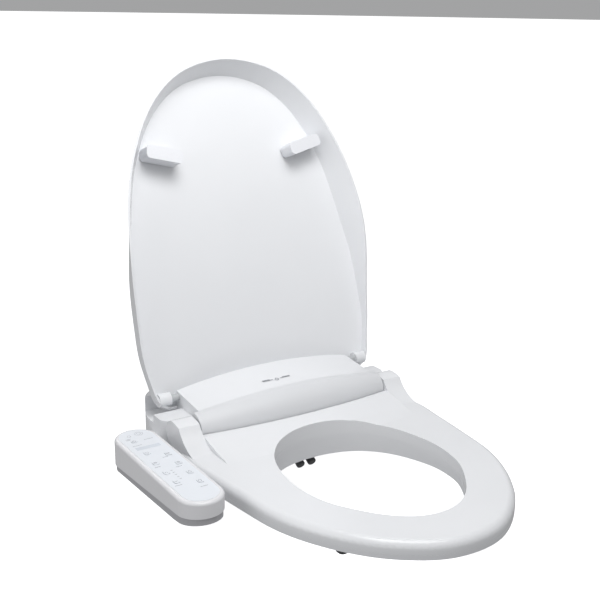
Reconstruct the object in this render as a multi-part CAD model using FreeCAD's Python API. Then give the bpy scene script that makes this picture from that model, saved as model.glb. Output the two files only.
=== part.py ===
"""Electric bidet seat: a heated seat ring and a lid hinged on a rear unit, with a control arm.

Frame, in millimetres: x is across the seat, y runs back from the nose, z is up.  The origin is
midway between the two bolt holes of the mounting plate, at the level of the bowl's rim.
The lid is drawn closed and turned to its raised rest position; the seat lies down at rest.
"""
import FreeCAD, Part
import math
import os

V = FreeCAD.Vector
os.makedirs("parts", exist_ok=True)

# ---- driving dimensions -----------------------------------------------------------------
SEAT_NOSE = 402.0          # from the bolt line to the seat's nose
SEAT_HALF = 185.0          # half of the seat's greatest width
SEAT_TOP = 31.0            # height of the ring's top face above the bowl
SEAT_UNDER = 10.0          # height of the ring's underside
WALL = 2.6                 # moulded wall thickness
SEAT_AXIS = (-22.0, 43.0)  # y, z of the seat's hinge line
LID_AXIS = (38.0, 65.0)    # y, z of the lid's hinge line
LID_OPEN = 110.0           # degrees from closed to the raised rest position
LID_HALF = 190.0
LID_NOSE = 411.0
LID_REAR = 53.0
BARREL_MID = 33.0          # radius of the front fairing on the centre plane
BARREL_END = 22.0          # and at its two ends
BARREL_HALF = 146.5        # half of its length
EAR_IN = 148.5
EAR_OUT = 178.0
EAR_RADIUS = 17.0
UNIT_HALF = 181.0          # half width of the rear unit
UNIT_REAR = 108.0
TRAY_HIGH = 30.0           # joint line between the tray and the upper casing
SHOULDER_Z = 52.0
UNIT_CORNER = 70.0         # plan radius of the unit's two rear corners
CHEEK_X = 139.0            # the raised middle of the casing ends here
CREST_Y = 43.0
GROOVE_Y = 27.0            # the groove that the lid's rear edge swings into
GROOVE_END = 67.5
GROOVE_Z = 40.5
PIN_R = 5.0
RUN_GAP = 0.05             # radial clearance of a pin that turns
BOLT_SPACING = 140.0
BOLT_HOLE_R = 4.5
ARM_X0, ARM_X1 = -255.0, -199.0
ARM_Y0, ARM_Y1 = -219.0, 5.0
ARM_TOP = 50.0
NOZZLE_TILT = 30.0         # degrees below level
NOZZLE_R = 6.0
NOZZLE_X = (-9.0, 9.0)
NOZZLE_TIP = (-68.0, -26.0)
NOZZLE_LONG = 118.0
INLET_X, INLET_Z = -118.0, 16.0
INLET_R = 10.4             # outside of the water inlet's thread
INLET_TAIL_R = 8.6         # plain neck that passes through the tray's rear wall
INLET_ROOT, INLET_SEAT, INLET_END = 82.0, 108.5, 128.0
GLAND_X, GLAND_Z, GLAND_R = -82.0, 17.0, 5.0
BUTTON_Y0, BUTTON_Y1 = 20.0, 40.0
FAN_X, FAN_Y = 150.0, 38.0
FAR = 600.0                # larger than the object, for cutting blocks


# ---- drawing helpers ---------------------------------------------------------------------
def block(x0, x1, y0, y1, z0, z1):
    return Part.makeBox(x1 - x0, y1 - y0, z1 - z0, V(x0, y0, z0))


def rod(x0, x1, y, z, radius):
    return Part.makeCylinder(radius, x1 - x0, V(x0, y, z), V(1, 0, 0))


def post(x, y, z0, z1, radius):
    return Part.makeCylinder(radius, z1 - z0, V(x, y, z0), V(0, 0, 1))


def side_profile(points, x0, x1):
    """Solid between x0 and x1 whose outline is drawn in the y-z plane."""
    corners = [V(x0, y, z) for y, z in points]
    return Part.Face(Part.makePolygon(corners + corners[:1])).extrude(V(x1 - x0, 0, 0))


def both_sides(shape):
    return [shape, shape.mirror(V(0, 0, 0), V(1, 0, 0))]


def curve_through(points, z):
    curve = Part.BSplineCurve()
    curve.interpolate([V(x, y, z) for x, y in points])
    return curve.toShape()


def grown(points, amount, closed):
    """The same outline moved outwards by amount, or inwards where amount is negative."""
    moved = []
    last = len(points) - 1
    for i, (x, y) in enumerate(points):
        before = points[i - 1] if closed or i else points[0]
        after = points[(i + 1) % len(points)] if closed or i < last else points[last]
        dx, dy = after[0] - before[0], after[1] - before[1]
        size = math.hypot(dx, dy)
        moved.append((x + amount * dy / size, y - amount * dx / size))
    return moved


def mirrored(half):
    """Points of a whole outline from the ones on its +x side, nose first."""
    return [(-x, y) for x, y in reversed(half[1:])] + half


def plan_solid(half, z0, z1, grow=0.0):
    """Solid with a curved outline, closed by a straight edge across the rear."""
    rear_y = half[-1][1] + grow
    points = grown(mirrored(half), grow, False)
    points[0] = (points[0][0], rear_y)
    points[-1] = (points[-1][0], rear_y)
    curved = curve_through(points, z0)
    rear = Part.makeLine(V(*points[-1], z0), V(*points[0], z0))
    return Part.Face(Part.Wire([curved, rear])).extrude(V(0, 0, z1 - z0))


def loop_solid(half, z0, z1, grow=0.0):
    """Solid with a closed, smooth outline; half runs from the nose to the rear middle."""
    back = [(-x, y) for x, y in reversed(half[1:-1])]
    points = grown(half + back, grow, True)
    curve = Part.BSplineCurve()
    curve.interpolate([V(x, y, z0) for x, y in points], True)
    return Part.Face(Part.Wire(curve.toShape())).extrude(V(0, 0, z1 - z0))


def arched(sections, half, floor):
    """Solid lofted along y; each section is (y, height at the middle, height at the sides)."""
    wires = []
    for y, mid, side in sections:
        left, right = V(-half, y, side), V(half, y, side)
        arc = Part.Arc(left, V(0, y, mid), right).toShape()
        low_left, low_right = V(-half, y, floor), V(half, y, floor)
        wires.append(Part.Wire([arc, Part.makeLine(right, low_right),
                                Part.makeLine(low_right, low_left),
                                Part.makeLine(low_left, left)]))
    return Part.makeLoft(wires, True, len(sections) == 2)


def barrel(extra, half):
    """Bulged cylinder on the seat's hinge line."""
    y, z = SEAT_AXIS
    mid, end = BARREL_MID + extra, BARREL_END + extra
    arc = Part.Arc(V(-half, y, z + end), V(0, y, z + mid), V(half, y, z + end)).toShape()
    left, right = V(-half, y, z), V(half, y, z)
    wire = Part.Wire([arc, Part.makeLine(V(half, y, z + end), right), Part.makeLine(right, left),
                      Part.makeLine(left, V(-half, y, z + end))])
    return Part.Face(wire).revolve(V(0, y, z), V(1, 0, 0), 360)


def nozzle_rod(x, start, end, radius):
    """Cylinder on a nozzle's line; start and end are distances out of the parked tip."""
    lean = math.radians(NOZZLE_TILT)
    out = V(0, -math.cos(lean), -math.sin(lean))
    tip = V(x, *NOZZLE_TIP)
    return Part.makeCylinder(radius, end - start, tip + out * start, out)


def cut_all(shape, tools):
    for tool in tools:
        shape = shape.cut(tool)
    return shape


def save(name, *shapes):
    solids = [solid for shape in shapes for solid in shape.Solids]
    shape = solids[0] if len(solids) == 1 else Part.makeCompound(solids)
    shape.exportStep("parts/" + name + ".step")
    box = shape.optimalBoundingBox(False, False)
    print(f"{name:22s} solids {len(solids):2d} valid {shape.isValid()} volume {shape.Volume:10.0f}"
          f"  x {box.XMin:7.1f} {box.XMax:7.1f}  y {box.YMin:7.1f} {box.YMax:7.1f}"
          f"  z {box.ZMin:6.1f} {box.ZMax:6.1f}")


# ---- seat ring ---------------------------------------------------------------------------
SEAT_LINE = [(0, -SEAT_NOSE), (39, -396), (73, -378), (102, -354), (125, -326), (143, -297),
             (157, -266), (166, -234), (171, -200), (176, -164), (181, -122), (SEAT_HALF, -84),
             (182, -58), (EAR_OUT, -42)]
HOLE_LINE = [(0, -343), (35, -334), (62, -313), (82, -287), (97, -261), (105, -233), (108, -205),
             (105, -177), (98, -148), (84, -119), (62, -96), (33, -83), (0, -79)]
RING_ROUND = 10.0
PART_LINE = 16.0           # joint between the ring's two shells
SKIRT_LOW = -12.0          # the opening's rear wall hangs this low


def top_edges(shape, z):
    return [e for e in shape.Edges if abs(e.BoundBox.ZMin - z) < 0.01
            and abs(e.BoundBox.ZMax - z) < 0.01 and e.Curve.TypeId != "Part::GeomLine"]


def seat_block():
    """The closed ring with its raised rear deck and the two ears, before it is hollowed."""
    ring = plan_solid(SEAT_LINE, SEAT_UNDER, SEAT_TOP)
    ring = ring.makeFillet(RING_ROUND, top_edges(ring, SEAT_TOP))
    y, z = SEAT_AXIS
    deck = side_profile([(-118, SEAT_UNDER), (-118, SEAT_TOP - 0.5), (-90, 35), (-57, 43),
                         (y, 43), (y, SEAT_UNDER)], -EAR_IN, EAR_IN)
    ring = ring.fuse(deck)
    cove = Part.Arc(V(EAR_IN, -96, SEAT_TOP - 1), V(EAR_IN, -60, 38), V(EAR_IN, -41, 57)).toShape()
    crown = Part.Arc(V(EAR_IN, -41, 57), V(EAR_IN, -32, z + EAR_RADIUS - 0.8),
                     V(EAR_IN, y, z + EAR_RADIUS)).toShape()
    back = Part.Arc(V(EAR_IN, y, z + EAR_RADIUS), V(EAR_IN, y + EAR_RADIUS, z),
                    V(EAR_IN, y, z - EAR_RADIUS)).toShape()
    lower = [V(EAR_IN, y, z - EAR_RADIUS), V(EAR_IN, -44, SEAT_UNDER + 6),
             V(EAR_IN, -96, SEAT_UNDER + 6), V(EAR_IN, -96, SEAT_TOP - 1)]
    lines = [Part.makeLine(a, b) for a, b in zip(lower, lower[1:])]
    ear = Part.Face(Part.Wire([cove, crown, back] + lines)).extrude(V(EAR_OUT - EAR_IN, 0, 0))
    ring = ring.fuse(both_sides(ear)).removeSplitter()
    clear = [barrel(1.5, EAR_IN - 0.5), block(-EAR_IN, EAR_IN, -40, FAR, -FAR, FAR)]
    hole = loop_solid(HOLE_LINE, -50, 90)
    return cut_all(ring, clear + [hole])


def seat_shells():
    whole = seat_block()
    hollow = plan_solid(SEAT_LINE[:-2] + [(174, -62)], SEAT_UNDER + WALL, SEAT_TOP - 3.4, -4.5)
    hollow = hollow.cut(loop_solid(HOLE_LINE, -50, 90, 4.5))
    hollow = hollow.cut(block(-FAR, FAR, -70, FAR, -FAR, FAR))
    shell = whole.cut(hollow)
    y, z = SEAT_AXIS
    shell = cut_all(shell, both_sides(rod(EAR_IN - 1, EAR_OUT - 4, y, z, PIN_R)))
    top = shell.cut(block(-FAR, FAR, -FAR, FAR, -FAR, PART_LINE))
    bottom = shell.common(block(-FAR, FAR, -FAR, FAR, -FAR, PART_LINE))
    skirt = loop_solid(HOLE_LINE, -40, PART_LINE - 2, 3.0).cut(loop_solid(HOLE_LINE, -60, 90))
    below = side_profile([(-FAR, SEAT_UNDER), (-330, SEAT_UNDER - 1), (-79, SKIRT_LOW),
                          (FAR, SKIRT_LOW), (FAR, -FAR), (-FAR, -FAR)], -FAR, FAR)
    skirt = skirt.cut(below).cut(hollow).cut(block(-FAR, FAR, -76, FAR, -FAR, FAR))
    bottom = bottom.fuse(skirt).removeSplitter()
    inner = plan_solid(SEAT_LINE[:-2] + [(174, -72)], SEAT_TOP - 4.0, SEAT_TOP - 3.4, -9.0)
    inner = inner.cut(loop_solid(HOLE_LINE, -50, 90, 9.0))
    return top, bottom, inner.cut(block(-FAR, FAR, -82, FAR, -FAR, FAR))


def seat_small_parts():
    """Rubber bumpers under the ring, screws that hold its two shells, and the hinge pins."""
    bumpers = []
    screws = []
    for x, y in [(107, -310), (146, -170)]:
        pad = block(x - 14, x + 14, y - 7, y + 7, 0, SEAT_UNDER)
        pad = pad.makeFillet(5.0, [e for e in pad.Edges if e.BoundBox.ZLength > 5])
        bumpers += both_sides(pad)
    for x, y in [(128, -238), (60, -366)]:
        head = post(x, y, SEAT_UNDER - 0.8, SEAT_UNDER, 3.2)
        screws += both_sides(head)
    y, z = SEAT_AXIS
    pin = rod(EAR_IN - 9, EAR_OUT - 4, y, z, PIN_R)
    return bumpers, screws, both_sides(pin)


# ---- lid -----------------------------------------------------------------------------------
LID_LINE = [(0, -LID_NOSE), (40, -406), (77, -392), (109, -368), (134, -338), (152, -306),
            (166, -273), (176, -240), (183, -205), (187, -169), (LID_HALF, -130), (189.5, -84),
            (187, -50), (183.5, -20), (177, 18), (170, 41), (154, LID_REAR)]
LID_WALL = 3.0
ARM_IN = 144.0             # between its two hinge arms the lid's rear edge has no wall
LID_RIM = 24.0             # height of the rim round the nose, closed
LID_LEAN = 0.44            # how much its walls lean in for each mm of height
BOSS_IN, BOSS_END = 152.0, 169.0
RIM_LINE = [(-FAR, LID_RIM), (-185, LID_RIM), (-160, 25.5), (-135, 29.5), (-110, 35), (-85, 41),
            (-60, 47), (-35, 52), (-3, 57), (41, 58), (48, 61), (LID_REAR + 2, 66)]   # y, z
CROWN = [(-440, 58.0, 53.0), (-300, 64.0, 58.0), (-140, 77.0, 62.0), (80, 91.0, 70.0)]


def lid_wire(z, grow):
    """The lid's outline at a height. Its walls lean in, less and less towards the hinges."""
    line = mirrored(LID_LINE)
    points = []
    for (x, y), (out_x, out_y) in zip(line, grown(line, 1.0, False)):
        lean = LID_LEAN * (z - LID_RIM) * min(1.0, max(0.0, (-20 - y) / 170))
        points.append((x + (out_x - x) * (grow - lean), y + (out_y - y) * (grow - lean)))
    rear_y = LID_REAR + grow
    points[0] = (points[0][0], rear_y)
    points[-1] = (points[-1][0], rear_y)
    rear = Part.makeLine(V(*points[-1], z), V(*points[0], z))
    return Part.Wire([curve_through(points, z), rear])


def lid_block(grow, drop):
    """The lid's outer form, or with grow and drop its hollow."""
    body = Part.makeLoft([lid_wire(LID_RIM - 6, grow), lid_wire(LID_RIM + 76, grow)], True, True)
    dome = arched([(y, mid - drop, side - drop) for y, mid, side in CROWN], 200, -30)
    return body.common(dome)


def lid_shell():
    outer = lid_block(0.0, 0.0)
    outer = outer.cut(side_profile(RIM_LINE + [(FAR, 66), (FAR, -FAR), (-FAR, -FAR)], -FAR, FAR))
    shell = outer.cut(lid_block(-LID_WALL, LID_WALL))
    open_rear = arched([(y, mid - LID_WALL, side - LID_WALL) for y, mid, side in CROWN], 200, -30)
    shell = shell.cut(open_rear.common(block(-ARM_IN, ARM_IN, 20, 70, -FAR, FAR)))
    y, z = LID_AXIS
    boss = rod(BOSS_IN, BOSS_END, y, z, 9.0)
    web = block(BOSS_IN, BOSS_END - 3, y - 5, y + 5, z, z + 8)
    shell = shell.fuse(both_sides(boss) + both_sides(web))
    shell = shell.cut(Part.makeCompound(both_sides(rod(BOSS_IN - 1, BOSS_END - 3, y, z, PIN_R))))
    return shell.removeSplitter()


def lid_buffers():
    """Two soft pads whose feet meet the seat's top when the lid is closed."""
    y = -284.0
    pad = block(85, 138, y - 9, y + 9, SEAT_TOP + 0.4, 58)
    pad = pad.makeFillet(6.0, [e for e in pad.Edges if e.BoundBox.ZLength > 5])
    pad.rotate(V(112, y, 0), V(0, 0, 1), -14)
    pad = pad.cut(block(-FAR, FAR, -FAR, FAR, 90, FAR))
    hollow = lid_block(-LID_WALL, LID_WALL)
    pad = pad.common(hollow)
    return both_sides(pad)


def lid_pins():
    y, z = LID_AXIS
    pin = rod(CHEEK_X - 12, BOSS_END - 3, y, z, PIN_R)
    return both_sides(pin)


def raised(shapes):
    """Turn shapes drawn with the lid closed to its raised rest position."""
    turned = []
    for shape in shapes:
        copy = shape.copy()
        copy.rotate(V(0, *LID_AXIS), V(-1, 0, 0), LID_OPEN)
        turned.append(copy)
    return turned


# ---- rear unit -----------------------------------------------------------------------------
def unit_plan(z0, z1, inset=0.0):
    """The unit's outline: wide behind the ears, narrower under the fairing."""
    wide = block(-UNIT_HALF + inset, UNIT_HALF - inset, -3 + inset, UNIT_REAR - inset, z0, z1)
    uprights = [e for e in wide.Edges if e.BoundBox.ZLength > z1 - z0 - 0.1]
    wide = wide.makeFillet(12.0, [e for e in uprights if e.BoundBox.YMin < 20])
    uprights = [e for e in wide.Edges if e.BoundBox.ZLength > z1 - z0 - 0.1
                and e.BoundBox.YMin > UNIT_REAR - 10]
    wide = wide.makeFillet(UNIT_CORNER, uprights)
    narrow = block(-BARREL_HALF + inset, BARREL_HALF - inset, -38 + inset, 20, z0, z1)
    return wide.fuse(narrow).removeSplitter()


def nozzle_ways(radius, start=-140.0, end=160.0):
    return [nozzle_rod(x, start, end, radius) for x in NOZZLE_X]


def rear_rod(x, z, y0, y1, radius):
    return Part.makeCylinder(radius, y1 - y0, V(x, y0, z), V(0, 1, 0))


def base_tray():
    tray = unit_plan(0, TRAY_HIGH).cut(unit_plan(3, TRAY_HIGH + 5, WALL))
    arm_foot = block(ARM_X0 + 22, -UNIT_HALF + 2, ARM_Y1 + 1, 34, 8, 27)
    tray = tray.fuse(arm_foot)
    plate_seat = block(-98, 98, -20.6, 24.6, -1, 4)
    roof = block(-101, 101, -23.2, 27.2, 0, 6.6).cut(plate_seat)
    tray = tray.fuse(roof)
    tray = cut_all(tray, [plate_seat] + nozzle_ways(NOZZLE_R + 1.6))
    tray = tray.cut(block(-26, 26, -FAR, 12, -1, 4.2))
    button_way = block(UNIT_HALF - 6, UNIT_HALF + 1, BUTTON_Y0 - 1.3, BUTTON_Y1 + 1.3, 7.7, 20.3)
    gland_way = rear_rod(GLAND_X, GLAND_Z, UNIT_REAR - 6, UNIT_REAR + 1, GLAND_R)
    inlet_way = rear_rod(INLET_X, INLET_Z, UNIT_REAR - 13, UNIT_REAR + 7, INLET_TAIL_R + 0.2)
    tray = cut_all(tray, [button_way, gland_way, inlet_way])
    return tray.removeSplitter()


def casing_block(inset):
    """Upper casing: crowned middle, low shoulders, the lid's groove and the rear deck."""
    side = CHEEK_X - inset
    z0 = TRAY_HIGH if inset == 0 else TRAY_HIGH - 1
    middle = arched([(-21 + inset, 75 - inset, 65 - inset),
                     (CREST_Y - inset, 84.5 - inset, 72 - inset)], side, z0)
    low = block(-UNIT_HALF + inset, UNIT_HALF - inset, -3 + inset, GROOVE_END + inset + 4, z0,
                SHOULDER_Z - inset)
    low = low.cut(block(-FAR, FAR, GROOVE_Y - inset, FAR, GROOVE_Z - inset, FAR))
    rear = arched([(GROOVE_END + inset, 76 - inset, 60 - inset),
                   (UNIT_REAR - inset, 66 - inset, 52 - inset)], UNIT_HALF - inset, z0)
    whole = middle.fuse([low, rear])
    return whole.common(unit_plan(z0, 120, inset))


def top_cover():
    shell = casing_block(0.0).cut(casing_block(WALL))
    y, z = LID_AXIS
    bores = both_sides(rod(CHEEK_X - 20, CHEEK_X + 5, y, z, PIN_R + RUN_GAP))
    cheek = block(CHEEK_X - 14, CHEEK_X - 1, y - 9, CREST_Y - 1, z - 14, z + 5)
    shell = shell.fuse(both_sides(cheek))
    return cut_all(shell, bores).removeSplitter()


def front_fairing():
    y, z = SEAT_AXIS
    shell = barrel(0, BARREL_HALF).cut(barrel(-WALL, BARREL_HALF - 3.5))
    shell = shell.cut(block(-FAR, FAR, y + 0.5, FAR, -FAR, FAR))
    shell = shell.cut(block(-FAR, FAR, -FAR, FAR, -FAR, TRAY_HIGH + 0.2))
    cheek = block(EAR_IN - 14, BARREL_HALF, y - 12, y + 0.5, TRAY_HIGH + 0.2, z + 12)
    shell = shell.fuse(both_sides(cheek))
    bores = both_sides(rod(EAR_IN - 20, EAR_IN + 1, y, z, PIN_R + RUN_GAP))
    return cut_all(shell, bores).removeSplitter()


def mounting_plate():
    plate = block(-96, 96, -19, 23, 0, 3.0)
    plate = plate.makeFillet(8.0, [e for e in plate.Edges if e.BoundBox.ZLength > 2.5])
    holes = both_sides(post(BOLT_SPACING / 2, 0, -1, 5, BOLT_HOLE_R))
    window = block(-28, 28, -30, 14, -1, 5)
    return cut_all(plate, holes + [window])


def unit_insides():
    """The water, air and electrical pieces on the tray's floor."""
    heater = block(52, 118, 30, 62, 7, 27)
    heater = heater.makeFillet(3.0, heater.Edges)
    valve = block(-158, -113, 50, 78, 5, 26).fuse(post(-136, 64, 26, 36, 9))
    stub = rear_rod(INLET_X, INLET_Z, INLET_SEAT, INLET_END, INLET_R)
    stub = stub.fuse(rear_rod(INLET_X, INLET_Z, INLET_ROOT, INLET_SEAT, INLET_TAIL_R))
    stub = stub.cut(rear_rod(INLET_X, INLET_Z, INLET_ROOT + 3, INLET_END + 1, INLET_TAIL_R - 1.6))
    pump = rod(-110, -62, 46, 18, 11).fuse(block(-62, -46, 36, 56, 8, 28))
    fan = post(FAN_X, FAN_Y, 5, 25, 22).cut(post(FAN_X, FAN_Y, 8, 26, 19))
    rotor = post(FAN_X, FAN_Y, 8.5, 23, 5)
    for step in range(8):
        blade = block(FAN_X + 4, FAN_X + 16.5, FAN_Y - 0.7, FAN_Y + 0.7, 9, 22)
        blade.rotate(V(FAN_X, FAN_Y, 0), V(0, 0, 1), step * 45)
        rotor = rotor.fuse(blade)
    board = block(-100, 60, 74, 76, 8, 34)
    parts = block(-90, -70, 76, 88, 12, 26).fuse(block(-30, -8, 76, 84, 14, 30))
    board = board.fuse([parts, block(10, 34, 76, 90, 12, 28)])
    return dict(water_heater=heater, inlet_valve=valve, inlet_stub=stub, flow_pump=pump,
                fan_case=fan, fan_rotor=rotor, power_board=board)


def nozzle_set():
    """Snout that carries the two spray nozzles, their drive and the nozzles themselves."""
    hood = block(-42, 48, -66, -39, -16, 9)
    edges = [e for e in hood.Edges if e.BoundBox.XLength < 1 and e.BoundBox.YLength < 1]
    hood = hood.makeFillet(9.0, edges)
    bridge = block(-24, 24, -40, -34, -16, 4)
    hood = cut_all(hood.fuse(bridge), nozzle_ways(NOZZLE_R + 0.6)).removeSplitter()
    rods = [nozzle_rod(x, -NOZZLE_LONG, -14, NOZZLE_R) for x in NOZZLE_X]
    tips = []
    for x in NOZZLE_X:
        tip = nozzle_rod(x, -14, 0, NOZZLE_R)
        tip = tip.makeFillet(2.0, tip.Edges[:1])
        spray = [post(x + dx, NOZZLE_TIP[0] + 5 + dy, -40, 0, 0.5)
                 for dx, dy in [(-2, 0), (0, 2), (2, 0)]]
        upper = [s.cut(block(-FAR, FAR, -FAR, FAR, -FAR, NOZZLE_TIP[1] + 5)) for s in spray]
        tips.append(cut_all(tip, upper))
    return hood, rods, tips


def drives():
    """One small stepper motor beside each nozzle's rear end."""
    motors = []
    for x, way in zip(NOZZLE_X, (-1, 1)):
        side = x + way * (NOZZLE_R + 8)
        lo, hi = sorted((side, side + way * 18))
        motors.append(rod(lo, hi, 4, 27, 9.5))
    return motors


# ---- control arm ---------------------------------------------------------------------------
ARM_MID = (ARM_X0 + ARM_X1) / 2
ARM_SPLIT = [(ARM_Y1 + 40, 14), (ARM_Y1, 15), (ARM_Y0, 30), (ARM_Y0 - 40, 31)]   # y, z
ARM_FLOOR = [(ARM_Y1 + 40, 7), (ARM_Y1, 8), (ARM_Y0 + 40, 17), (ARM_Y0 - 40, 27)]
KEYS = {
    "power_key": (ARM_MID - 9, -34, 7.0, 7.0),      # x, y, length and width of each key
    "stop_key": (ARM_MID - 9, -72, 9.0, 7.0),
    "rear_wash_key": (ARM_MID + 12, -86, 9.0, 7.0),
    "front_wash_key": (ARM_MID - 12, -102, 9.0, 7.0),
    "dryer_key": (ARM_MID + 12, -114, 9.0, 7.0),
    "pressure_up_key": (ARM_MID - 12, -131, 9.0, 6.0),
    "pressure_down_key": (ARM_MID - 12, -157, 9.0, 6.0),
    "water_warmth_key": (ARM_MID + 12, -143, 9.0, 6.0),
    "seat_warmth_key": (ARM_MID + 12, -169, 9.0, 6.0)}


def arm_block(inset, z0, z1):
    radius = (ARM_X1 - ARM_X0) / 2 - inset
    straight = block(ARM_X0 + inset, ARM_X1 - inset, ARM_Y0 + inset + radius,
                     ARM_Y1 - inset - radius, z0, z1)
    ends = [post(ARM_MID, y, z0, z1, radius)
            for y in (ARM_Y0 + inset + radius, ARM_Y1 - inset - radius)]
    return straight.fuse(ends).removeSplitter()


def under(line, lift=0.0):
    """Everything below a line drawn in the y-z plane."""
    points = [(y, z + lift) for y, z in line]
    return side_profile(points + [(points[-1][0], -FAR), (points[0][0], -FAR)], -FAR, FAR)


def key_cap(x, y, length, width, z0, z1, grow=0.0):
    cap = block(x - width / 2 - grow, x + width / 2 + grow, y - length / 2 - grow,
                y + length / 2 + grow, z0, z1)
    return cap.makeFillet(min(length, width) * 0.35, [e for e in cap.Edges if e.BoundBox.ZLength > 0.4
                                                      and e.BoundBox.XLength < 0.01
                                                      and e.BoundBox.YLength < 0.01])


def control_arm():
    outer = arm_block(0, 0, ARM_TOP)
    rounded = outer.makeFillet(4.0, [e for e in outer.Edges
                                     if e.BoundBox.ZMin > ARM_TOP - 0.01])
    upper = rounded.cut(under(ARM_SPLIT))
    upper = upper.cut(arm_block(WALL, -10, ARM_TOP - WALL))
    lower = arm_block(1.5, -10, ARM_TOP - 12).cut(under(ARM_FLOOR))
    lower = lower.cut(arm_block(WALL + 2, -10, ARM_TOP).cut(under(ARM_FLOOR, WALL)))
    lower = lower.common(under(ARM_SPLIT))
    board = arm_block(WALL + 4, ARM_TOP - 9, ARM_TOP - 7.4)
    film = arm_block(5.5, ARM_TOP, ARM_TOP + 0.4)
    wells = [key_cap(*size, ARM_TOP - 5, ARM_TOP + 3, 0.35) for size in KEYS.values()]
    window = block(ARM_MID - 16, ARM_MID + 16, -60, -52, ARM_TOP - 1.2, ARM_TOP + 0.4)
    upper = cut_all(upper, wells + [window])
    film = cut_all(film, wells + [window])
    keys = {name: key_cap(*size, ARM_TOP - 4, ARM_TOP + 0.9) for name, size in KEYS.items()}
    return upper, lower, board, film, window, keys


# ---- write every piece -----------------------------------------------------------------------
seat_top, seat_bottom, seat_foil = seat_shells()
seat_pads, seat_screws, seat_pins = seat_small_parts()
save("seat_top_shell", seat_top)
save("seat_bottom_shell", seat_bottom)
save("seat_heater", seat_foil)
save("seat_bumpers", *seat_pads)
save("seat_screws", *seat_screws)
save("seat_hinge_pins", *seat_pins)

save("lid_shell", *raised([lid_shell()]))
save("lid_buffers", *raised(lid_buffers()))
save("lid_hinge_pins", *raised(lid_pins()))

save("base_tray", base_tray())
save("top_cover", top_cover())
save("front_fairing", front_fairing())
save("mounting_plate", mounting_plate())
for name, shape in unit_insides().items():
    save(name, shape)
hood, nozzle_rods, nozzle_tips = nozzle_set()
save("nozzle_hood", hood)
for name, rod_shape, tip in zip(("rear_nozzle", "front_nozzle"), nozzle_rods, nozzle_tips):
    save(name, rod_shape)
    save(name + "_tip", tip)
save("nozzle_motors", *drives())
save("release_button", block(UNIT_HALF - 5, UNIT_HALF + 1.5, BUTTON_Y0, BUTTON_Y1, 9, 19))
gland = rear_rod(GLAND_X, GLAND_Z, UNIT_REAR - 6, UNIT_REAR + 6, GLAND_R)
save("cord_gland", gland.cut(rear_rod(GLAND_X, GLAND_Z, UNIT_REAR - 7, UNIT_REAR + 7, GLAND_R - 2)))

arm_top, arm_base, arm_board, arm_film, window, keys = control_arm()
save("control_arm_top", arm_top)
save("control_arm_base", arm_base)
save("arm_board", arm_board)
save("panel_film", arm_film)
save("status_window", window)
for name, key in keys.items():
    save(name, key)
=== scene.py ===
"""Electric bidet seat: lid, heated seat, washing unit and its control arm."""

import math

import bmesh
import bpy
from mathutils import Matrix, Vector


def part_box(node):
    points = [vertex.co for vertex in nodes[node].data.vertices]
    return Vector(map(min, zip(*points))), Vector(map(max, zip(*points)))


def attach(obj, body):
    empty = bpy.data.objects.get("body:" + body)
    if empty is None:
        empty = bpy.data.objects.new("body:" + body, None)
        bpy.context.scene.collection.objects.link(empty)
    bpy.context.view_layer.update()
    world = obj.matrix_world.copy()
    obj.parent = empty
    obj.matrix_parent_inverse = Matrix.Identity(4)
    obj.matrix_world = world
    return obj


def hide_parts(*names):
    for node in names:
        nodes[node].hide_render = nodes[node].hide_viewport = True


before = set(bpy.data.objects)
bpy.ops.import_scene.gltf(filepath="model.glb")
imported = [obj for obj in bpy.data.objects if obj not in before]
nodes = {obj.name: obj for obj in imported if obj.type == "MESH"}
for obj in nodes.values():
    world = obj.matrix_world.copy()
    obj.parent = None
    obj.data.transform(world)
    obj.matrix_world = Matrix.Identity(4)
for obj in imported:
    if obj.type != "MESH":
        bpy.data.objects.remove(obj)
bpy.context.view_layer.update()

scene = bpy.context.scene

# ---------------------------------------------------------------- Studio
# A pale sheet runs under the seat, below the reach of the spray nozzles. Soft
# lamps hang over the front, the left and the back, and the room itself is bright.

FLOOR_Z = -0.080
FLOOR_RADIUS = 60.0
GLOW = 0.76              # the sheet is lit from below, like a light table
EYE = (-0.6849, -1.0827, 0.5734)
EYE_HEADING = 33.42
EYE_PITCH = -16.68
EYE_ROLL = 0.87
EYE_LENS = 59.37
ROOM_LIGHT = 0.37


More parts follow.
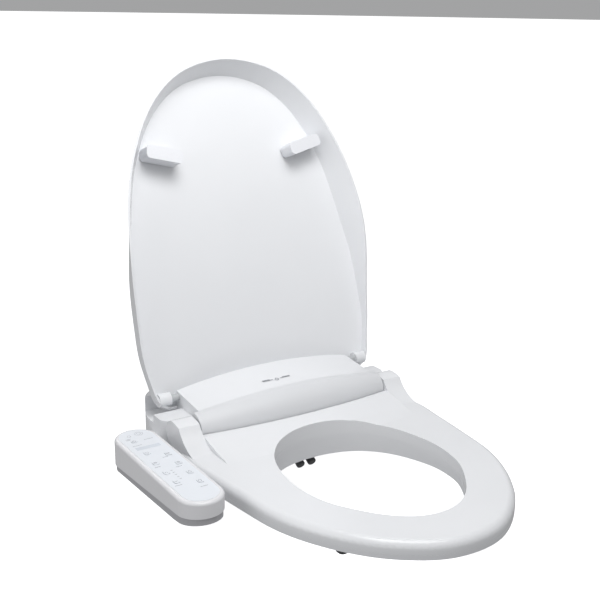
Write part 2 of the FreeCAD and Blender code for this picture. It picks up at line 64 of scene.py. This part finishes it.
class Wire:
    """One socket of a finish. Arithmetic on it adds the Math nodes."""

    def __init__(self, tree, socket=None):
        self.tree = tree
        self.socket = socket

    def node(self, kind, settings=None, sockets=None, out=0):
        """Adds a node: its settings first, then the numbers or wires of its sockets."""
        made = self.tree.nodes.new("ShaderNode" + kind)
        for name, value in (settings or {}).items():
            setattr(made, name, value)
        for name, value in (sockets or {}).items():
            if isinstance(value, Wire):
                self.tree.links.new(value.socket, made.inputs[name])
            else:
                made.inputs[name].default_value = value
        return Wire(self.tree, made.outputs[out] if made.outputs else None)

    def maths(self, operation, *terms):
        return self.node("Math", {"operation": operation}, dict(enumerate(terms)))

    def __add__(self, other):
        return self.maths("ADD", self, other)

    __radd__ = __add__

    def __mul__(self, other):
        return self.maths("MULTIPLY", self, other)

    __rmul__ = __mul__

    def noise(self, scale, detail=2.0, stretch=None):
        """Cloudy grain fixed to the moulding; scale is lumps per metre."""
        place = self.node("TexCoord", None, None, "Object")
        if stretch:
            place = self.node("VectorMath", {"operation": "MULTIPLY"}, {0: place, 1: stretch})
        return self.node("TexNoise", None, {"Vector": place, "Scale": scale, "Detail": detail})

    def between(self, mask, low, high):
        """A colour between low and high."""
        sockets = {0: mask, 6: (*low, 1), 7: (*high, 1)}
        return self.node("Mix", {"data_type": "RGBA"}, sockets, 2)

    def relief(self, height, depth, strength):
        """A normal that follows a height; depth is in metres."""
        sockets = {"Height": height, "Distance": depth, "Strength": strength}
        return self.node("Bump", None, sockets)

    def surface(self, sockets):
        """The finish itself: a Principled surface on the material's output."""
        shader = self.node("BsdfPrincipled", None, sockets, "BSDF")
        self.node("OutputMaterial", None, {"Surface": shader})


def finish(name):
    """A new material, and the wire that its nodes are added from."""
    material = bpy.data.materials.new(name)
    material.use_nodes = True
    material.node_tree.nodes.clear()
    return material, Wire(material.node_tree)


paper, wire = finish("studio_paper")
cloud = wire.noise(3.0)
wire.surface({
    "Base Color": wire.between(cloud, (0.93, 0.93, 0.94), (0.96, 0.96, 0.97)),
    "Roughness": 0.86 + 0.08 * cloud,
    "Specular IOR Level": 0.1,
    "Emission Color": (1, 1, 1, 1),
    "Emission Strength": GLOW,
})
sheet = bmesh.new()
bmesh.ops.create_circle(sheet, cap_ends=True, segments=64, radius=FLOOR_RADIUS)
bmesh.ops.translate(sheet, verts=sheet.verts, vec=(0, 0, FLOOR_Z))
floor_mesh = bpy.data.meshes.new("floor")
sheet.to_mesh(floor_mesh)
sheet.free()
floor_mesh.materials.append(paper)
floor = bpy.data.objects.new("floor", floor_mesh)
scene.collection.objects.link(floor)
floor.visible_diffuse = False      # its glow doesn't light the seat from below
floor.visible_glossy = False

eye_turn = (Matrix.Rotation(math.radians(-EYE_HEADING), 4, "Z")
            @ Matrix.Rotation(math.radians(90 + EYE_PITCH), 4, "X")
            @ Matrix.Rotation(math.radians(EYE_ROLL), 4, "Z"))
lens = bpy.data.cameras.new("eye")
lens.lens = EYE_LENS
lens.sensor_width = 36.0
lens.clip_start = 0.02
eye = bpy.data.objects.new("eye", lens)
eye.matrix_world = Matrix.Translation(EYE) @ eye_turn
scene.collection.objects.link(eye)
scene.camera = eye

LAMPS = {   # place, aimed at, width, height, watts
    "overhead": ((-0.12, -0.50, 1.12), (0.0, 0.00, 0.20), 0.8, 0.6, 6.9),
    "lid_glow": ((-0.10, -0.25, 0.90), (0.0, 0.20, 0.52), 0.25, 0.25, 1.15),
    "left_fill": ((-1.7, -0.3, 0.7), (0.0, -0.1, 0.15), 1.2, 1.2, 5.5),
    "back_edge": ((0.2, 1.6, 1.5), (0.0, 0.1, 0.2), 1.4, 0.7, 5.0),
}
for name, (place, aim, width, height, power) in LAMPS.items():
    lamp = bpy.data.lights.new(name, "AREA")
    lamp.shape = "RECTANGLE"
    lamp.size = width
    lamp.size_y = height
    lamp.energy = power
    stand = bpy.data.objects.new(name, lamp)
    stand.location = place
    stand.rotation_euler = (Vector(aim) - Vector(place)).to_track_quat("-Z", "Y").to_euler()
    scene.collection.objects.link(stand)

room = bpy.data.worlds.new("room")
room.use_nodes = True
air = room.node_tree.nodes["Background"].inputs
air["Color"].default_value = (0.985, 0.99, 1.0, 1)
air["Strength"].default_value = ROOM_LIGHT
scene.world = room
scene.view_settings.view_transform = "Standard"

# ---------------------------------------------------------------- Lid
# The lid is one thin white polypropylene moulding, glossy outside and in, with
# two soft buffers stuck inside. It hangs on clear nylon pins pressed into the
# bosses of its rear corners.

SHARP = math.radians(38)     # an edge that turns by more than this is broken
SKIN_WEIGHT = 60             # how far the big faces set the shading, in percent
WELD_GAP = 0.00001


def dress(material, *names):
    """Puts a finish in every material slot of these carried-over pieces."""
    for name in names:
        for slot in nodes[name].material_slots:
            slot.material = material


def break_edges(node, width):
    """A small rounding along every sharp edge of a piece."""
    edge = node.modifiers.new("edge", "BEVEL")
    edge.width = width
    edge.segments = 3
    edge.limit_method = "ANGLE"
    edge.angle_limit = SHARP
    return node.modifiers.new("skin", "WEIGHTED_NORMAL")


def soften(width, *names):
    """Rounds the sharp edges of carried-over pieces and shades the rest as one skin."""
    for name in names:
        weld = nodes[name].modifiers.new("join", "WELD")
        weld.merge_threshold = WELD_GAP
        break_edges(nodes[name], width).weight = SKIN_WEIGHT


def white_plastic(name, low, high, gloss):
    """Glossy injection-moulded white: slow tint drift, slight orange peel."""
    material, wire = finish(name)
    drift = wire.noise(9.0, 3.0)
    peel = wire.noise(420.0, 1.0)
    wire.surface({
        "Base Color": wire.between(drift, low, high),
        "Roughness": gloss + 0.08 * drift,
        "Normal": wire.relief(peel, 0.00002, 0.35),
        "IOR": 1.49,
    })
    return material


lid_white = white_plastic("lid_gloss_white", (0.80, 0.81, 0.83), (0.84, 0.85, 0.87), 0.20)
dress(lid_white, "lid_shell")
soften(0.0009, "lid_shell")

pad_white, wire = finish("buffer_soft_white")
dust = wire.noise(650.0, 2.0)
wire.surface({
    "Base Color": wire.between(dust, (0.74, 0.75, 0.78), (0.80, 0.81, 0.84)),
    "Roughness": 0.42 + 0.12 * dust,
    "Normal": wire.relief(dust, 0.00006, 0.4),
})
dress(pad_white, "lid_buffers")
soften(0.0020, "lid_buffers")

clear_nylon, wire = finish("hinge_clear_nylon")
haze = wire.noise(160.0, 2.0)
wire.surface({
    "Base Color": wire.between(haze, (0.70, 0.72, 0.74), (0.80, 0.82, 0.83)),
    "Roughness": 0.16 + 0.14 * haze,
    "Transmission Weight": 0.35,
    "IOR": 1.53,
})
dress(clear_nylon, "lid_hinge_pins")

# ---------------------------------------------------------------- Seat
# Two white shells are welded into a hollow ring with a heating foil inside.
# Black rubber feet are pushed into its underside, and steel pins hold its ears.

seat_white = white_plastic("seat_gloss_white", (0.81, 0.82, 0.84), (0.85, 0.86, 0.88), 0.17)
dress(seat_white, "seat_top_shell")
soften(0.0014, "seat_top_shell")
under_white = white_plastic("seat_under_white", (0.76, 0.77, 0.79), (0.81, 0.82, 0.84), 0.30)
dress(under_white, "seat_bottom_shell")

rubber, wire = finish("foot_dark_rubber")
bloom = wire.noise(240.0, 3.0)
wire.surface({
    "Base Color": wire.between(bloom, (0.030, 0.031, 0.034), (0.060, 0.060, 0.064)),
    "Roughness": 0.55 + 0.25 * bloom,
    "Normal": wire.relief(bloom, 0.0002, 0.4),
})
dress(rubber, "seat_bumpers")

steel, wire = finish("pin_turned_steel")
turning = wire.noise(90.0, 2.0, (30.0, 1.0, 1.0))
wire.surface({
    "Base Color": wire.between(turning, (0.50, 0.51, 0.53), (0.62, 0.63, 0.65)),
    "Metallic": 1.0,
    "Roughness": 0.22 + 0.16 * turning,
    "Normal": wire.relief(turning, 0.00003, 0.5),
})
dress(steel, "seat_screws", "seat_hinge_pins")

foil, wire = finish("heater_foil")
crinkle = wire.noise(120.0, 4.0)
wire.surface({
    "Base Color": wire.between(crinkle, (0.62, 0.63, 0.65), (0.80, 0.81, 0.82)),
    "Metallic": 1.0,
    "Roughness": 0.25 + 0.2 * crinkle,
    "Normal": wire.relief(crinkle, 0.0003, 0.6),
})
dress(foil, "seat_heater")

# ---------------------------------------------------------------- Casing
# The washing unit's tray is a deep white moulding that sits on the bowl. A
# crowned cover of the same plastic snaps over it.

cover_white = white_plastic("cover_gloss_white", (0.80, 0.81, 0.83), (0.84, 0.85, 0.87), 0.19)
dress(cover_white, "top_cover", "base_tray")
soften(0.0012, "top_cover")
soften(0.0008, "base_tray")

# ---------------------------------------------------------------- Front fairing
# The fairing is a crowned roll, moulded in one piece with its flat back and
# floor. It snaps in between the seat's ears, a hair clear of both.

ROLL_STEPS = 64
ARC_STEPS = 28
ARC_END = math.radians(89)   # the roll's skin stops just short of upright
LIP = 0.0006                 # a fine bead along its top edge
BACK_GAP = 0.0005
ROLL_AXIS_Z = 0.043
CROWN = 0.011                # the roll is this much thinner at its ends


def piece(name, mesh, material, body, smooth=True):
    """A new object of this mesh that moves with a body."""
    made = bpy.data.objects.new(name, mesh)
    scene.collection.objects.link(made)
    mesh.materials.append(material)
    for face in mesh.polygons:
        face.use_smooth = smooth
    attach(made, body)
    return made


# The fairing's white is set darker than the cover's white: painted shade for a roll that faces
# forward and down.
fairing_shaded_white = white_plastic("fairing_shaded_white", (0.70, 0.71, 0.73), (0.74, 0.75, 0.77), 0.44)
dress(fairing_shaded_white, "front_fairing")

roll_low, roll_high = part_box("front_fairing")
axis_y = roll_high.y - BACK_GAP
mid_radius = axis_y - roll_low.y
half_length = roll_high.x
roll = bmesh.new()
loops = []
for step in range(ROLL_STEPS + 1):
    x = half_length * (2 * step / ROLL_STEPS - 1)
    radius = mid_radius - CROWN * (x / half_length) ** 2
    start = math.asin((roll_low.z - ROLL_AXIS_Z) / radius)
    loop = []
    for k in range(ARC_STEPS + 1):
        lean = start + (ARC_END - start) * k / ARC_STEPS
        swell = radius - (LIP if k == ARC_STEPS - 2 else 0.0)
        loop.append(roll.verts.new((x, axis_y - swell * math.cos(lean),
                                    ROLL_AXIS_Z + swell * math.sin(lean))))
    loop.append(roll.verts.new((x, axis_y, ROLL_AXIS_Z + radius * math.sin(ARC_END))))
    loop.append(roll.verts.new((x, axis_y, roll_low.z)))
    loops.append(loop)
for one, two in zip(loops, loops[1:]):
    for k in range(len(one)):
        after = (k + 1) % len(one)
        roll.faces.new((one[k], one[after], two[after], two[k]))
roll.faces.new(loops[0])
roll.faces.new(reversed(loops[-1]))
bmesh.ops.recalc_face_normals(roll, faces=roll.faces)
roll_mesh = bpy.data.meshes.new("fairing_roll")
roll.to_mesh(roll_mesh)
roll.free()
fairing_roll = piece("fairing_roll", roll_mesh, fairing_shaded_white, "unit")
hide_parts("front_fairing")
break_edges(fairing_roll, 0.0008)

# ---------------------------------------------------------------- Insides
# The heater, valve, pump and fan are black mouldings screwed into the tray, and
# the hose joins at a brass stub. The unit slides onto a grey plate on the bowl.

grey_plastic, wire = finish("base_grey_plastic")
leather = wire.noise(900.0, 3.0)
wire.surface({
    "Base Color": wire.between(leather, (0.44, 0.44, 0.46), (0.50, 0.50, 0.52)),
    "Roughness": 0.40 + 0.2 * leather,
    "Normal": wire.relief(leather, 0.00008, 0.5),
})
dress(grey_plastic, "mounting_plate", "release_button")

dark_plastic, wire = finish("insides_dark_plastic")
grit = wire.noise(700.0, 3.0)
wire.surface({
    "Base Color": wire.between(grit, (0.045, 0.046, 0.050), (0.075, 0.076, 0.080)),
    "Roughness": 0.38 + 0.2 * grit,
    "Normal": wire.relief(grit, 0.00008, 0.5),
})
dress(dark_plastic, "inlet_valve", "flow_pump", "fan_case", "fan_rotor", "water_heater",
      "cord_gland")

brass, wire = finish("inlet_brass")
thread = wire.node("TexWave", {"bands_direction": "Y"}, {
    "Vector": wire.node("TexCoord", None, None, "Object"), "Scale": 175.0})
tarnish = wire.noise(110.0, 3.0)
wire.surface({
    "Base Color": wire.between(tarnish, (0.62, 0.48, 0.26), (0.76, 0.62, 0.38)),
    "Metallic": 1.0,
    "Roughness": 0.24 + 0.2 * tarnish,
    "Normal": wire.relief(thread, 0.0006, 0.7),
})
dress(brass, "inlet_stub")

board_green, wire = finish("board_green")
tracks = wire.noise(260.0, 1.0)
wire.surface({
    "Base Color": wire.between(tracks, (0.02, 0.12, 0.06), (0.05, 0.20, 0.10)),
    "Roughness": 0.35 + 0.1 * tracks,
})
dress(board_green, "power_board", "arm_board", "nozzle_motors")

# ---------------------------------------------------------------- Spray nozzles
# Two steel tubes slide out of a pale hood under the seat's opening. Each ends
# in a dark moulded tip.

hood_white = white_plastic("hood_white", (0.72, 0.73, 0.75), (0.78, 0.79, 0.81), 0.30)
dress(hood_white, "nozzle_hood")
soften(0.0010, "nozzle_hood")
dress(steel, "rear_nozzle", "front_nozzle")
dress(dark_plastic, "rear_nozzle_tip", "front_nozzle_tip")

# ---------------------------------------------------------------- Control arm
# A white cap and a grey base shell close round the key board. The panel is a
# pale printed film on the cap, with soft keys that push up through it.

arm_white = white_plastic("arm_gloss_white", (0.79, 0.79, 0.81), (0.83, 0.83, 0.85), 0.22)
dress(arm_white, "control_arm_top")
soften(0.0004, "control_arm_top", "control_arm_base")
dress(grey_plastic, "control_arm_base")

film, wire = finish("panel_film_pale")
weave = wire.noise(1100.0, 2.0)
wire.surface({
    "Base Color": wire.between(weave, (0.78, 0.81, 0.86), (0.82, 0.85, 0.89)),
    "Roughness": 0.30 + 0.12 * weave,
    "Normal": wire.relief(weave, 0.00003, 0.4),
})
dress(film, "panel_film", "power_key", "stop_key", "rear_wash_key", "front_wash_key",
      "dryer_key", "pressure_up_key", "pressure_down_key", "water_warmth_key",
      "seat_warmth_key")

smoked, wire = finish("status_window_smoked")
depth = wire.noise(80.0, 2.0)
wire.surface({
    "Base Color": wire.between(depth, (0.66, 0.70, 0.76), (0.72, 0.76, 0.82)),
    "Roughness": 0.12 + 0.08 * depth,
})
dress(smoked, "status_window")

# ---------------------------------------------------------------- Printed marks
# Each key carries a small grey sign of what it does, screen-printed on its top.
# Fine dashes and rings beside the keys are printed on the film.

MM = 0.001               # the marks are drawn in millimetres
SIGN_LINE = 0.55
DASH_LINE = 0.7
RING_LINE = 0.35
INK = 0.06               # how proud the ink stands

print_grey, wire = finish("print_grey")
dots = wire.noise(1500.0, 1.0)
wire.surface({
    "Base Color": wire.between(dots, (0.26, 0.27, 0.30), (0.36, 0.37, 0.40)),
    "Roughness": 0.40 + 0.15 * dots,
})


def arc(x, y, radius, start, end, steps=18):
    """Points along part of a circle, angles in degrees."""
    turn = [math.radians(start + (end - start) * k / steps) for k in range(steps + 1)]
    return [(x + radius * math.cos(t), y + radius * math.sin(t)) for t in turn]


def ring_round(x, y, radius, steps):
    """A whole circle that ends on its own first point."""
    points = arc(x, y, radius, 0, 360, steps)
    return points[:-1] + points[:1]


def printed(name, strokes, place, body, width, slope=0.0):
    """Thin closed ribbons along strokes drawn round a place; slope is rise per unit back."""
    form = bmesh.new()
    for stroke in strokes:
        closed = stroke[0] == stroke[-1]
        points = [Vector(p) for p in (stroke[:-1] if closed else stroke)]
        rows = []
        for k, point in enumerate(points):
            before = points[k - 1] if k or closed else point
            after = points[(k + 1) % len(points)] if k < len(points) - 1 or closed else point
            along = (after - before).normalized()
            side = Vector((-along.y, along.x)) * width / 2
            row = []
            for sign, height in ((-1, 0), (1, 0), (1, INK), (-1, INK)):
                flat = point + side * sign
                row.append(form.verts.new((place[0] + flat.x * MM, place[1] + flat.y * MM,
                                           place[2] + (height + slope * flat.y) * MM)))
            rows.append(row)
        count = len(rows)
        for k in range(count if closed else count - 1):
            one, two = rows[k], rows[(k + 1) % count]
            for c in range(4):
                form.faces.new((one[c], one[(c + 1) % 4], two[(c + 1) % 4], two[c]))
        if not closed:
            form.faces.new(rows[0])
            form.faces.new(reversed(rows[-1]))
    bmesh.ops.recalc_face_normals(form, faces=form.faces)
    mesh = bpy.data.meshes.new(name)
    form.to_mesh(mesh)
    form.free()
    piece(name, mesh, print_grey, body, smooth=False)


basin = arc(0, 1.2, 2.3, 180, 360)
drop = [(0.0, 2.9)] + arc(0, -0.6, 1.9, 25, -205) + [(0.0, 2.9)]
wave = [(-2.2 + 0.4 * k, 0.5 * math.sin(1.15 * k)) for k in range(12)]
oval = [(1.8 * math.cos(t / 3), 2.4 * math.sin(t / 3)) for t in range(19)] + [(1.8, 0.0)]
SIGNS = {
    "power_key": [arc(0, 0, 2.0, 120, 420), [(0, 0.6), (0, 2.9)]],
    "stop_key": [[(-1.8, -1.8), (1.8, -1.8), (1.8, 1.8), (-1.8, 1.8), (-1.8, -1.8)]],
    "rear_wash_key": [basin, [(0, -0.6), (0, 2.4)],
                      [(-1.3, 0.4), (-1.7, 2.2)], [(1.3, 0.4), (1.7, 2.2)]],
    "front_wash_key": [basin, [(-0.8, -0.4), (-0.8, 2.4)], [(0.8, -0.4), (0.8, 2.4)]],
    "dryer_key": [[(x, y + lift) for x, y in wave] for lift in (-1.5, 0.0, 1.5)],
    "pressure_up_key": [[(-1.8, -0.9), (0, 1.0), (1.8, -0.9)]],
    "pressure_down_key": [[(-1.8, 0.9), (0, -1.0), (1.8, 0.9)]],
    "water_warmth_key": [drop],
    "seat_warmth_key": [oval],
}
for key, strokes in SIGNS.items():
    low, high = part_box(key)
    middle = ((low.x + high.x) / 2, (low.y + high.y) / 2, high.z)
    printed(key + "_sign", strokes, middle, key + "_cap", SIGN_LINE)

film_low, film_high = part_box("panel_film")
film_end = ((film_low.x + film_high.x) / 2, film_high.y, film_high.z)
levels = [[(-5.4, -y), (-2.6, -y)] for y in (128, 134, 140, 146, 152)]
dashes = [[(-16, -24), (-9, -24)], [(-16, -26.5), (-11, -26.5)], [(4, -34), (16, -34)],
          [(-16, -46), (-4, -46)], [(2, -92), (9, -92)], [(-18, -112), (-10, -112)],
          [(4, -123), (12, -123)], [(-18, -166), (-9, -166)], [(6, -182), (15, -182)]]
printed("panel_captions", levels + dashes, film_end, "unit", DASH_LINE)
rings = [ring_round(-8, -16, 2.2, 24), ring_round(6, -14, 5.0, 36), ring_round(6, -14, 2.6, 24)]
printed("panel_rings", rings, film_end, "unit", RING_LINE)

# ---------------------------------------------------------------- Cover emblem
# A plain water drop between two pairs of short bars, printed on the flat strip
# along the front of the cover. It stands for no maker.

EMBLEM_X = -0.009
EMBLEM_BACK = 0.0185     # from the cover's front edge
EMBLEM_LINE = 1.2
STRIP_Z = 0.0781
STRIP_SLOPE = 0.148

cover_low, cover_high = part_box("top_cover")
bars = [[(-22, 0), (-6, 0)], [(6, 0), (22, 0)], [(-22, 1.8), (-10, 1.8)], [(10, 1.8), (22, 1.8)]]
wide_drop = [(x * 1.3, y * 1.1 - 0.6) for x, y in drop]
strip = (EMBLEM_X, cover_low.y + EMBLEM_BACK, STRIP_Z)
printed("cover_emblem", bars + [wide_drop], strip, "unit", EMBLEM_LINE,
        STRIP_SLOPE)
